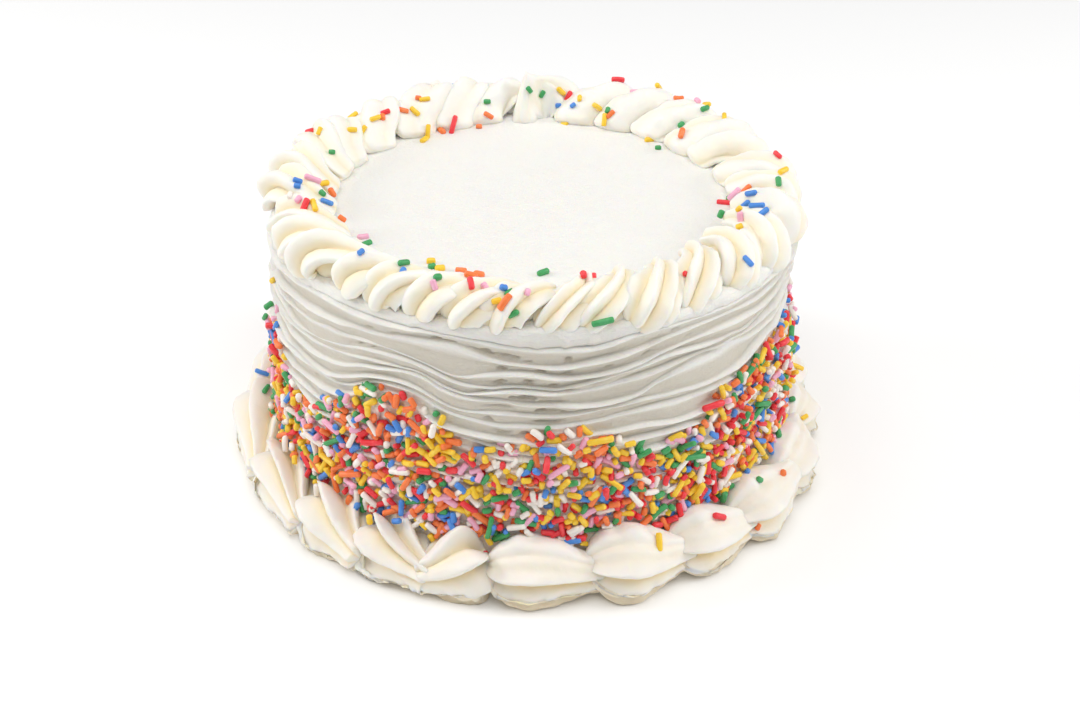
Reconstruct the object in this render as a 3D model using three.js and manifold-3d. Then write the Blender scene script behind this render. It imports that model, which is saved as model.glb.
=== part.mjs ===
// A round white layer cake: a tall frosted drum with a combed wall and a flat top,
// a ring of shells piped round its foot and a ring of star-tip swirls piped round
// its top edge. Millimetres, +Z up, standing on z = 0. Every piped stroke is a
// piece of its own, laid against the drum and over the end of the stroke before it.
import * as THREE from 'three';
import { mergeVertices } from 'three/addons/utils/BufferGeometryUtils.js';
import Module from 'manifold-3d';

const wasm = await Module();
wasm.setup();

// ---- driving dimensions ----
const TOP_Z = 101;            // flat top of the frosted drum
const WALL_R_TOP = 96.4;      // wall radius at the top
const WALL_R_FOOT = 98.2;     // wall radius at the foot, the wall leans in a little
const COMB_LOW = 35;          // combed grooves start above the foot shells
const COMB_HIGH = 95;         // and end under a smooth collar
const COMB_RIDGES = 8;
const COMB_DEPTH = 0.9;       // crest and groove, out and in from the wall
const WALL_SEGMENTS = 40;
const GAP = 0.3;              // clearance between neighbouring pieces
const OVERLAP_LEAN = 16;      // degrees, how far a swirl leans over the one before it

const FOOT_R = 102.6;         // circle that the foot shells' centre line follows
const FOOT_HEAD = [14.2, 13.8]; // half width (outwards) and half height of a head
const FOOT_TAIL = [5.2, 6.2];
const FOOT_HEAD_Z = 11.4;     // height of the centre line at the head
const FOOT_TAIL_Z = 9.6;
const FOOT_DRIFT = 3.8;       // how far a tail swings out from the wall
// Degrees round the section where a shell's grooves lie, from the wall over the top
// and down: a shell that lies along the wall, one that fans out from it on the
// left, and the one that runs the other way and closes the ring.
const SHINGLE_GROOVES = [30, 118, 178, 216];
const FAN_GROOVES = [-12, 47, 105, 164, 222];
const CLOSING_GROOVES = [-35, 22, 78, 134, 190];
const FAN_FROM = [-5, 12];    // outwards and up: where a fanned shell starts, inside the wall
const FAN_TO = [9, 6.5];      // and where its tail ends
const FOOT_FLUTE = 0.16;      // lobe height as a share of the radius
const LOBE_CREST = 0.62;      // where a lobe stands highest, as a share of its width
const SHINGLE_CREST = 0.85;
const FOOT_SETBACK = 0.06;    // how much further along a shell its grooves begin

const EDGE_R = 83.5;          // circle under the crests of the top swirls
const EDGE_HEAD = 9.7;        // radius of a swirl where it starts, on the outer edge
const EDGE_TAIL = 5.6;
const EDGE_GROOVES = [-80, -27, 27, 80]; // degrees round the section, 0 is the middle of the showing side
const EDGE_FLUTE = 0.2;
const EDGE_TWIST = 0.75;      // how far the ridges turn along a swirl, radians

// Where each foot shell starts, degrees anticlockwise seen from above: eleven
// uneven ones round the front and sides, and the rest spread round the back.
const FOOT_FRONT = [180, 202.5, 221.5, 237.5, 252, 263.5, 282.5, 299.5, 315.5, 332, 353.5];
const FOOT_BACK = 9;
const FOOT_BACK_FROM = 368.5;
const FOOT_REVERSED = 4;      // the closing shell runs the other way
// The same for the swirls on the top edge.
const EDGE_FRONT = [208.5, 219, 231, 240.5, 248.5, 257.5, 265.5, 274, 283, 293.5, 306, 319, 331.5];
const EDGE_BACK = 18;
const EDGE_BACK_FROM = 343.5;
const PEAK_SWIRL = 21;        // one swirl at the back was pulled up to a point
const PEAK_LIFT = 9.5;

const DEG = Math.PI / 180;
const mix = (a, b, t) => a + (b - a) * t;
const smooth = (a, b, x) => {
  const t = Math.min(1, Math.max(0, (x - a) / (b - a)));
  return t * t * (3 - 2 * t);
};
// Repeatable unevenness in -1..1.
const uneven = (i, k) => {
  const v = Math.sin(i * 12.9898 + k * 78.233 + 4.1) * 43758.5453;
  return 2 * (v - Math.floor(v)) - 1;
};

// ---- closed shapes and boolean cuts ----
function toSolid(geometry) {
  const g = geometry.clone();
  g.deleteAttribute('normal');
  g.deleteAttribute('uv');
  const merged = mergeVertices(g, 1e-5);
  return new wasm.Manifold(new wasm.Mesh({
    numProp: 3,
    vertProperties: new Float32Array(merged.attributes.position.array),
    triVerts: new Uint32Array(merged.index.array),
  }));
}

// The largest closed body of a solid, without the crumbs that a cut may leave.
function largestBody(solid) {
  const mesh = solid.getMesh();
  const stride = mesh.numProp;
  const count = mesh.vertProperties.length / stride;
  const parent = Array.from({ length: count }, (_, i) => i);
  const root = (i) => {
    while (parent[i] !== i) {
      parent[i] = parent[parent[i]];
      i = parent[i];
    }
    return i;
  };
  const tris = mesh.triVerts;
  const at = new Map();
  for (let i = 0; i < count; i++) {
    const p = mesh.vertProperties;
    const key = `${p[i * stride]},${p[i * stride + 1]},${p[i * stride + 2]}`;
    if (at.has(key)) parent[root(i)] = root(at.get(key));
    else at.set(key, i);
  }
  for (let t = 0; t < tris.length; t += 3) {
    parent[root(tris[t])] = root(tris[t + 1]);
    parent[root(tris[t + 1])] = root(tris[t + 2]);
  }
  const volume = new Map();
  const v = (i) => new THREE.Vector3().fromArray(mesh.vertProperties, i * stride);
  for (let t = 0; t < tris.length; t += 3) {
    const r = root(tris[t]);
    const dv = v(tris[t]).dot(v(tris[t + 1]).cross(v(tris[t + 2]))) / 6;
    volume.set(r, (volume.get(r) ?? 0) + dv);
  }
  const best = [...volume.entries()].sort((a, b) => b[1] - a[1])[0][0];
  const index = [];
  for (let t = 0; t < tris.length; t += 3) {
    if (root(tris[t]) === best) index.push(tris[t], tris[t + 1], tris[t + 2]);
  }
  const positions = new Float32Array(count * 3);
  for (let i = 0; i < count; i++) {
    for (let k = 0; k < 3; k++) positions[i * 3 + k] = mesh.vertProperties[i * stride + k];
  }
  const geometry = new THREE.BufferGeometry();
  geometry.setAttribute('position', new THREE.BufferAttribute(positions, 3));
  geometry.setIndex(index);
  return geometry;
}

// A closed skin over rings of points, with a single point at each end.
function skin(first, rings, last) {
  const m = rings[0].length;
  const positions = [first.x, first.y, first.z];
  for (const ring of rings) for (const p of ring) positions.push(p.x, p.y, p.z);
  positions.push(last.x, last.y, last.z);
  const end = 1 + rings.length * m;
  const index = [];
  for (let j = 0; j < m; j++) {
    const k = (j + 1) % m;
    index.push(0, 1 + k, 1 + j);
    for (let i = 0; i + 1 < rings.length; i++) {
      const a = 1 + i * m;
      const b = a + m;
      index.push(a + j, a + k, b + k, a + j, b + k, b + j);
    }
    const z = 1 + (rings.length - 1) * m;
    index.push(end, z + j, z + k);
  }
  const geometry = new THREE.BufferGeometry();
  geometry.setAttribute('position', new THREE.Float32BufferAttribute(positions, 3));
  geometry.setIndex(index);
  return geometry;
}

// ---- the frosted drum ----
const wallRadius = (z) => mix(WALL_R_FOOT, WALL_R_TOP, z / TOP_Z);
// The comb was not held level: its grooves rise over a hump left of the front, dip
// beside it and climb again to the right.
const combShift = (a, z) => {
  const bell = (centre, half, level, reach) => Math.exp(-(((a - centre * DEG) / (half * DEG)) ** 2)
    - ((z - level) / reach) ** 2);
  const past = ((a / DEG - 272 + 540) % 360) - 180;
  const climb = smooth(-2, 48, past) * smooth(105, 55, past) * smooth(40, 90, z);
  return 7.5 * bell(241, 9.5, 68, 13) - 4 * bell(256, 8, 74, 11) + 8 * climb
    + 1.9 * Math.sin(3 * a + 1.0) + 1.1 * Math.sin(7 * a + 2.2);
};

function drum() {
  const rings = [];
  const ring = (radius, z) => {
    const points = [];
    for (let j = 0; j < WALL_SEGMENTS; j++) {
      const a = (2 * Math.PI * j) / WALL_SEGMENTS;
      const r = radius(a);
      points.push(new THREE.Vector3(r * Math.cos(a), r * Math.sin(a), z(a)));
    }
    rings.push(points);
  };
  ring(() => wallRadius(0), () => 0);
  ring(() => wallRadius(COMB_LOW - 2), () => COMB_LOW - 2);
  const steps = 2 * COMB_RIDGES;
  for (let i = 0; i <= steps; i++) {
    const level = mix(COMB_LOW, COMB_HIGH, i / steps);
    const hold = Math.sin(Math.PI * (i / steps)) ** 0.7;
    ring(
      (a) => wallRadius(level) + (i % 2 ? 1 : -1) * COMB_DEPTH
        * (0.8 + 0.35 * Math.sin(5 * a + i * 1.7)),
      (a) => level + hold * combShift(a, level),
    );
  }
  ring(() => wallRadius(COMB_HIGH + 1.6), () => COMB_HIGH + 1.6);
  ring(() => wallRadius(TOP_Z), () => TOP_Z);
  return skin(new THREE.Vector3(0, 0, 0), rings, new THREE.Vector3(0, 0, TOP_Z));
}

// What a piped stroke keeps clear of: the drum and the surface below the cake.
function clearOfDrum() {
  const profile = [
    new THREE.Vector2(0, -40),
    new THREE.Vector2(wallRadius(0) + GAP, -40),
    new THREE.Vector2(wallRadius(0) + GAP, 0),
    new THREE.Vector2(wallRadius(TOP_Z) + GAP, TOP_Z + GAP),
    new THREE.Vector2(0, TOP_Z + GAP),
  ];
  const lathe = new THREE.LatheGeometry(profile, WALL_SEGMENTS, Math.PI / 2);
  lathe.rotateX(Math.PI / 2);
  return toSolid(lathe);
}

function ground() {
  const slab = new THREE.BoxGeometry(400, 400, 60);
  slab.translate(0, 0, -30);
  return toSolid(slab);
}

// ---- one piped stroke ----
// A stroke runs along a path given in (outwards, anticlockwise, up) from a circle
// of radius `circle`. The lobes across its showing side turn as it goes, and the
// side that it lies on is plain. Each lobe rises slowly and falls away steeply.
function stroke({ start, circle, path, radii, grooves, crest, setback, plain, flute, twist, side, stations }) {
  const place = (q) => {
    const a = start + q[1] / circle;
    return new THREE.Vector3((circle + q[0]) * Math.cos(a), (circle + q[0]) * Math.sin(a), q[2]);
  };
  const centre = (s) => place(path(s));
  const tangent = (s) => centre(Math.min(1, s + 0.01)).sub(centre(Math.max(0, s - 0.01))).normalize();
  const rings = stations.map((s) => {
    const c = centre(s);
    const t = tangent(s);
    const a = start + path(s)[1] / circle;
    const reference = side === 'up'
      ? new THREE.Vector3(0, 0, 1)
      : new THREE.Vector3(-Math.sin(a), Math.cos(a), 0);
    const e2 = reference.sub(t.clone().multiplyScalar(reference.dot(t))).normalize();
    const e1 = e2.clone().cross(t).normalize();
    const full = radii(s);
    const late = radii(Math.max(0.01, s - setback));
    const lobed = Array.from({ length: 2 * grooves.length - 1 }, (_, j) => [
      (j % 2 ? mix(grooves[j >> 1], grooves[(j >> 1) + 1], crest) : grooves[j >> 1]) * DEG + twist * (s - 0.5),
      1 + flute * (j % 2 ? 0.75 : -1.35),
      j % 2 ? full : late,
    ]);
    const hidden = plain.map((deg) => [deg * DEG, 1, full]);
    return [...lobed, ...hidden].map(([th, rib, [ra, rb]]) => c.clone()
      .addScaledVector(e1, ra * rib * Math.cos(th))
      .addScaledVector(e2, rb * rib * Math.sin(th)));
  });
  return { solid: toSolid(skin(centre(0), rings, centre(1))), centre };
}

// Round at the start, full at the head, thin and round at the tail.
const swell = (s, head, tail, full) => {
  const nose = Math.sqrt(Math.max(0, 1 - (1 - Math.min(1, s / full)) ** 2));
  const body = mix(head, tail, smooth(full, 0.97, s));
  const end = Math.sqrt(Math.max(0, 1 - Math.max(0, (s - 0.93) / 0.07) ** 2));
  return nose * body * mix(0.35, 1, end);
};

const bezier = (p, s) => {
  const q = 1 - s;
  const w = [q * q * q, 3 * q * q * s, 3 * q * s * s, s * s * s];
  return [0, 1, 2].map((k) => w.reduce((sum, wi, i) => sum + wi * p[i][k], 0));
};

// A shell at the foot: a fat ribbed head that draws out to a low tail under the
// head of the next one.
function footShell(i, starts) {
  const a0 = starts[i] * DEG;
  const a1 = (i + 1 < starts.length ? starts[i + 1] : starts[0] + 360) * DEG;
  const reversed = i === FOOT_REVERSED;
  const pitch = (a1 - a0) * FOOT_R;
  const size = (1 + 0.06 * uneven(i, 1)) * mix(0.93, 1.04, smooth(24, 40, pitch));
  const length = pitch + 9;
  const lean = 1.6 * uneven(i, 2);
  // On the left the shells fan out from the wall, elsewhere they lie along it.
  const at = (starts[i] + 360) % 360;
  const fan = smooth(110, 150, at) * smooth(263, 252, at);
  const path = (s) => {
    const drop = smooth(0.3, 1, s);
    return [
      mix(FOOT_DRIFT * drop + lean * s, mix(FAN_FROM[0], FAN_TO[0], s), fan),
      reversed ? (0.72 - 0.87 * s) * pitch : mix(s * length - 2.5, (0.02 + 1.06 * s) * pitch, fan),
      mix(mix(FOOT_HEAD_Z * size, FOOT_TAIL_Z + 2.5 * uneven(i, 7), drop), mix(FAN_FROM[1], FAN_TO[1], s), fan),
    ];
  };
  const open = reversed || fan > 0.5;
  const wide = size * (1 + 0.07 * fan);
  const high = wide * (open ? 1 : 0.9);
  const radii = (s) => [
    swell(s, FOOT_HEAD[0] * wide, FOOT_TAIL[0], 0.34),
    swell(s, FOOT_HEAD[1] * high, FOOT_TAIL[1], 0.34),
  ];
  const grooves = reversed ? CLOSING_GROOVES : open ? FAN_GROOVES : SHINGLE_GROOVES;
  return stroke({
    start: a0,
    circle: FOOT_R,
    path,
    radii,
    grooves: grooves.map((deg, k) => deg + 7 * uneven(i, 5 + k) * (open ? 1 : 0.6)),
    crest: reversed ? 1 - LOBE_CREST : open ? LOBE_CREST : SHINGLE_CREST,
    setback: FOOT_SETBACK,
    plain: reversed ? [257.5] : open ? [282.5] : [242, 306],
    flute: FOOT_FLUTE * (open ? 1 : 0.7) * (1 + 0.25 * uneven(i, 3)),
    twist: 0.15 * uneven(i, 4),
    side: 'up',
    stations: [0.02, 0.12, 0.3, 0.6, 0.95],
  });
}

// A swirl on the top edge: it starts hanging over the outer edge, climbs, and curls
// inwards and anticlockwise down on to the flat top.
function edgeSwirl(i, starts) {
  const a0 = starts[i] * DEG;
  const a1 = (i + 1 < starts.length ? starts[i + 1] : starts[0] + 360) * DEG;
  const pitch = (a1 - a0) * EDGE_R;
  const size = (1 + 0.07 * uneven(i, 11)) * mix(0.94, 1.18, smooth(12, 19, pitch));
  const drift = 13 + 2.5 * uneven(i, 12);
  const lift = i === PEAK_SWIRL ? PEAK_LIFT : 0;
  const out = 14.2 + 1.2 * uneven(i, 13) - EDGE_HEAD;
  // The curls are tight on the left and at the back, and open on the front right.
  const at = (starts[i] + 360) % 360;
  const open = smooth(262, 280, at) * (1 - smooth(335, 350, at));
  const curl = mix(1, 0, open) + 0.5 * uneven(i, 21);
  const points = [
    [out + 1.4, -1.0 - 1.5 * open, TOP_Z - 3.0 + 0.8 * uneven(i, 14)],
    [out + 2.6, -1.5 * curl + 1.5 * open, TOP_Z + mix(5.2, 3.2, open) + lift],
    [out - mix(5.0, 7.0, open), drift * 0.62 + 2.0 * open, TOP_Z + 7.8 + 0.9 * uneven(i, 15) + 0.6 * lift],
    [-11.5 + 1.5 * uneven(i, 16), drift * 0.85 + 2.0 * open, TOP_Z + 1.0],
  ];
  return stroke({
    start: a0,
    circle: EDGE_R,
    path: (s) => bezier(points, s),
    radii: (s) => {
      const r = swell(s, (EDGE_HEAD - 0.4 * open) * size, EDGE_TAIL, 0.3) * (1 - 0.35 * smooth(0, 9, lift) * smooth(0.2, 0.5, s));
      return [r, r];
    },
    grooves: EDGE_GROOVES,
    crest: LOBE_CREST,
    setback: 0,
    plain: [180],
    flute: EDGE_FLUTE * (1 + 0.2 * uneven(i, 17)),
    twist: EDGE_TWIST * (1 + 0.3 * uneven(i, 18)),
    side: 'round',
    stations: [0.02, 0.13, 0.34, 0.6, 0.92],
  });
}

function spread(front, count, from) {
  const to = front[0] + 360;
  const rest = Array.from({ length: count }, (_, i) => from
    + ((to - from) * (i + 0.22 * uneven(i, front.length))) / count);
  return [...front, ...rest];
}

// ---- assembly ----
const icing = (color) => new THREE.MeshStandardMaterial({ color, roughness: 0.55, metalness: 0 });
const cake = new THREE.Group();

const body = new THREE.Mesh(drum(), icing(0xf4f0e4));
body.name = 'cake_body';
cake.add(body);

const drumClear = clearOfDrum();
const groundClear = ground();

// The half of space on the far side of a plane, for trimming one stroke.
function beyond(point, normal, offset) {
  const half = new THREE.BoxGeometry(200, 200, 200);
  half.translate(0, 0, 100 + offset);
  half.applyQuaternion(new THREE.Quaternion().setFromUnitVectors(new THREE.Vector3(0, 0, 1), normal));
  half.translate(point.x, point.y, point.z);
  return toSolid(half);
}

// Neighbouring strokes press flat against each other. A shell at the foot meets
// the next one where that one starts. A swirl on the edge meets the next one all
// along its side, and the next one leans over it.
function meeting(foot, a, b, start) {
  const up = new THREE.Vector3(0, 0, 1);
  if (foot) {
    const along = new THREE.Vector3(-Math.sin(start), Math.cos(start), 0);
    const point = new THREE.Vector3(FOOT_R * Math.cos(start), FOOT_R * Math.sin(start), 10);
    return [point, along];
  }
  const near = a.centre(0.2).add(b.centre(0.2)).multiplyScalar(0.5);
  const far = a.centre(0.8).add(b.centre(0.8)).multiplyScalar(0.5);
  const inwards = far.clone().sub(near).setZ(0).normalize();
  const along = inwards.clone().cross(up).normalize();
  const lean = OVERLAP_LEAN * DEG;
  return [near.setZ(TOP_Z + 4), along.multiplyScalar(Math.cos(lean)).addScaledVector(up, Math.sin(lean)).normalize()];
}

function ringOf(name, color, starts, make, foot) {
  const strokes = starts.map((_, i) => make(i, starts));
  const n = starts.length;
  const joints = starts.map((_, i) => meeting(foot, strokes[i], strokes[(i + 1) % n], starts[(i + 1) % n] * DEG));
  strokes.forEach(({ solid }, i) => {
    const [here, ahead] = joints[i];
    const [there, behind] = joints[(i + n - 1) % n];
    let kept = solid.subtract(drumClear);
    if (foot) kept = kept.subtract(groundClear);
    kept = kept.subtract(beyond(here, ahead, -GAP / 2));
    kept = kept.subtract(beyond(there, behind.clone().negate(), -GAP / 2));
    const mesh = new THREE.Mesh(largestBody(kept), icing(color));
    mesh.name = `${name}_${String(i + 1).padStart(2, '0')}`;
    cake.add(mesh);
  });
}

ringOf('bottom_shell', 0xf3ecdc, spread(FOOT_FRONT, FOOT_BACK, FOOT_BACK_FROM), footShell, true);
ringOf('top_shell', 0xf7f2e4, spread(EDGE_FRONT, EDGE_BACK, EDGE_BACK_FROM), edgeSwirl, false);

// The origin is the middle of the cake's footprint, at the surface it stands on.
const box = new THREE.Box3().setFromObject(cake);
cake.position.set(-(box.min.x + box.max.x) / 2, -(box.min.y + box.max.y) / 2, 0);

export default cake;
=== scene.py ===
"""A round white layer cake with a combed wall, piped borders and a band of sugar
sprinkles. Lengths below are millimetres in the cake's own axis frame unless
they are named otherwise; meshes are written in metres."""
import bpy
import math
import random
import numpy as np
from mathutils import Matrix, Vector
from mathutils.bvhtree import BVHTree


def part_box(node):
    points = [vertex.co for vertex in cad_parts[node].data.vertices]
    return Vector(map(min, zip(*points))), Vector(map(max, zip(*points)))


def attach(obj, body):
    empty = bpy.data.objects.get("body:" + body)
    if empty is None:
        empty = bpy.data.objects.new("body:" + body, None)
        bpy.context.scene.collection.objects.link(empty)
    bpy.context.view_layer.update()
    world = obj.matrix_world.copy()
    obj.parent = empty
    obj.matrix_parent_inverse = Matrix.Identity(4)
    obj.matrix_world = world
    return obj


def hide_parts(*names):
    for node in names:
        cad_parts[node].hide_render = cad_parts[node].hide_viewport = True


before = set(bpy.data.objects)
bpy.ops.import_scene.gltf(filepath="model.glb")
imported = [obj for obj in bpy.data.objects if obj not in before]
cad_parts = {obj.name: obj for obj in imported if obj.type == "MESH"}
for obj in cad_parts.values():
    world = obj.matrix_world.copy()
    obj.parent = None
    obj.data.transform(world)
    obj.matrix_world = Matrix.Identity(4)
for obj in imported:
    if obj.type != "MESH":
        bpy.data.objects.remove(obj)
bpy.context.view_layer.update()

# ---------------------------------------------------------------- sizes (mm)
TOP_Z = 101.0
WALL_R_TOP, WALL_R_FOOT = 96.4, 98.2
FOOT_R = 102.6
FOOT_HEAD, FOOT_TAIL = (14.2, 13.8), (5.2, 6.2)
FOOT_HEAD_Z, FOOT_TAIL_Z, FOOT_DRIFT = 11.4, 9.6, 3.8
# degrees round a section where its grooves lie, from the wall over the top and down
SHINGLE_GROOVES, CLOSING_GROOVES = (30, 118, 178, 216), (-35, 22, 78, 134, 190)
FAN_GROOVES = (-20, 32, 80, 126, 170, 222)
EDGE_GROOVES = {2: (-115, -8, 100), 3: (-110, -37, 37, 110), 4: (-110, -55, 0, 55, 110)}
FAN_FROM, FAN_TO = (-5, 12), (9, 6.5)
SHINGLE_CREST, FAN_CREST = 0.85, 0.78
EDGE_R = 83.5
EDGE_HEAD, EDGE_TAIL = 8.1, 4.4
EDGE_TWIST = 0.75
EDGE_LOBES = 3
LOBE_CREST = 0.62
FOOT_FRONT = [180, 202.5, 221.5, 237.5, 252, 263.5, 282.5, 299.5, 315.5, 332, 353.5]
FOOT_BACK, FOOT_BACK_FROM, FOOT_REVERSED = 9, 368.5, 4
EDGE_FRONT = [208.5, 219, 231, 240.5, 248.5, 257.5, 265.5, 274, 283, 293.5, 306, 319, 331.5]
EDGE_BACK, EDGE_BACK_FROM = 18, 343.5
PEAK_SWIRL, PEAK_LIFT = 21, 9.5
STRAND_R = 1.10               # radius of a sugar strand
DEG = math.pi / 180

lo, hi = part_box("cake_body")
AXIS = np.array([(lo.x + hi.x) / 2, (lo.y + hi.y) / 2, 0.0]) * 1000.0


def mix(a, b, t):
    return a + (b - a) * t


def smooth(a, b, x):
    t = np.clip((x - a) / (b - a), 0, 1)
    return t * t * (3 - 2 * t)


def uneven(i, k):
    v = math.sin(i * 12.9898 + k * 78.233 + 4.1) * 43758.5453
    return 2 * (v - math.floor(v)) - 1


def lattice(ix, iy, iz, seed):
    h = (ix * 374761393 + iy * 668265263 + iz * 2147483647 + seed * 974634777) & 0xFFFFFFFF
    h = ((h ^ (h >> 13)) * 1274126177) & 0xFFFFFFFF
    h = h ^ (h >> 16)
    return (h & 0xFFFF) / 32767.5 - 1.0


def noise(p, scale, seed=0):
    """Smooth noise in -1..1 at points p (N x 3); scale is one length or three."""
    q = np.asarray(p, float) / np.asarray(scale, float)
    i = np.floor(q).astype(np.int64)
    f = q - i
    u = f * f * f * (f * (f * 6 - 15) + 10)
    out = 0
    for dx in (0, 1):
        wx = u[:, 0] if dx else 1 - u[:, 0]
        for dy in (0, 1):
            wy = u[:, 1] if dy else 1 - u[:, 1]
            for dz in (0, 1):
                wz = u[:, 2] if dz else 1 - u[:, 2]
                out = out + wx * wy * wz * lattice(i[:, 0] + dx, i[:, 1] + dy, i[:, 2] + dz, seed)
    return out


def fractal(p, scale, seed=0, octaves=3):
    total, amp = 0, 1.0
    s = np.asarray(scale, float)
    for k in range(octaves):
        total = total + amp * noise(p, s, seed + 17 * k)
        s = s / 2.03
        amp *= 0.5
    return total


# ---------------------------------------------------------------- meshes
def mesh_object(name, verts, quads, tris=(), attributes=None):
    """Builds a smooth mesh from millimetre points in the cake's axis frame."""
    co = (np.asarray(verts, float) + AXIS) / 1000.0
    quads = np.asarray(quads, np.int32).reshape(-1, 4)
    tris = np.asarray(tris, np.int32).reshape(-1, 3)
    me = bpy.data.meshes.new(name)
    me.vertices.add(len(co))
    me.vertices.foreach_set("co", co.astype(np.float32).ravel())
    loops = np.concatenate([quads.ravel(), tris.ravel()])
    me.loops.add(len(loops))
    me.loops.foreach_set("vertex_index", loops)
    starts = np.concatenate([np.arange(len(quads)) * 4, len(quads) * 4 + np.arange(len(tris)) * 3])
    me.polygons.add(len(starts))
    me.polygons.foreach_set("loop_start", starts.astype(np.int32))
    me.update(calc_edges=True)
    me.validate()
    me.polygons.foreach_set("use_smooth", np.ones(len(me.polygons), bool))
    for key, values in (attributes or {}).items():
        layer = me.attributes.new(key, "FLOAT", "POINT")
        layer.data.foreach_set("value", np.asarray(values, np.float32))
    ob = bpy.data.objects.new(name, me)
    bpy.context.scene.collection.objects.link(ob)
    return ob


def tube_faces(rings, sides):
    """Faces of a skin over rings with a pole at each end: pole 0, rings, last pole."""
    j = np.arange(sides)
    k = (j + 1) % sides
    quads = []
    for i in range(rings - 1):
        a = 1 + i * sides
        b = a + sides
        quads.append(np.stack([a + j, a + k, b + k, b + j], 1))
    end = 1 + rings * sides
    z = 1 + (rings - 1) * sides
    tris = np.concatenate([
        np.stack([np.zeros_like(j), 1 + k, 1 + j], 1),
        np.stack([np.full_like(j, end), z + j, z + k], 1),
    ])
    return np.concatenate(quads), tris


def polar(p):
    return np.hypot(p[:, 0], p[:, 1]), np.arctan2(p[:, 1], p[:, 0])


# ---------------------------------------------------------------- the frosted drum
def wall_radius(z):
    return mix(WALL_R_FOOT, WALL_R_TOP, z / TOP_Z)


def wrap(a, centre):
    return (a - centre * DEG + math.pi) % (2 * math.pi) - math.pi


def comb_shift(a, z):
    """How far the comb's lines are carried up at angle a and height z: a hump left
    of the front, a dip beside it and a climb to the right."""
    p = np.stack([97 * np.cos(a), 97 * np.sin(a), z], 1)
    bump = np.exp(-(wrap(a, 241) / (9.5 * DEG)) ** 2) * np.exp(-((z - 68) / 13.0) ** 2)
    dip = np.exp(-(wrap(a, 256) / (8 * DEG)) ** 2) * np.exp(-((z - 74) / 11.0) ** 2)
    rise = smooth(-2 * DEG, 48 * DEG, wrap(a, 272)) * smooth(105 * DEG, 55 * DEG, wrap(a, 272))
    shift = 7.5 * bump - 4.0 * dip + 8.0 * rise * smooth(40, 90, z)
    shift = shift + 1.9 * np.sin(3 * a + 1.0) + 1.1 * np.sin(7 * a + 2.2)
    return shift + 1.3 * noise(p, (38, 38, 22), 3) + 0.4 * noise(p, (12, 12, 9), 4)


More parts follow.
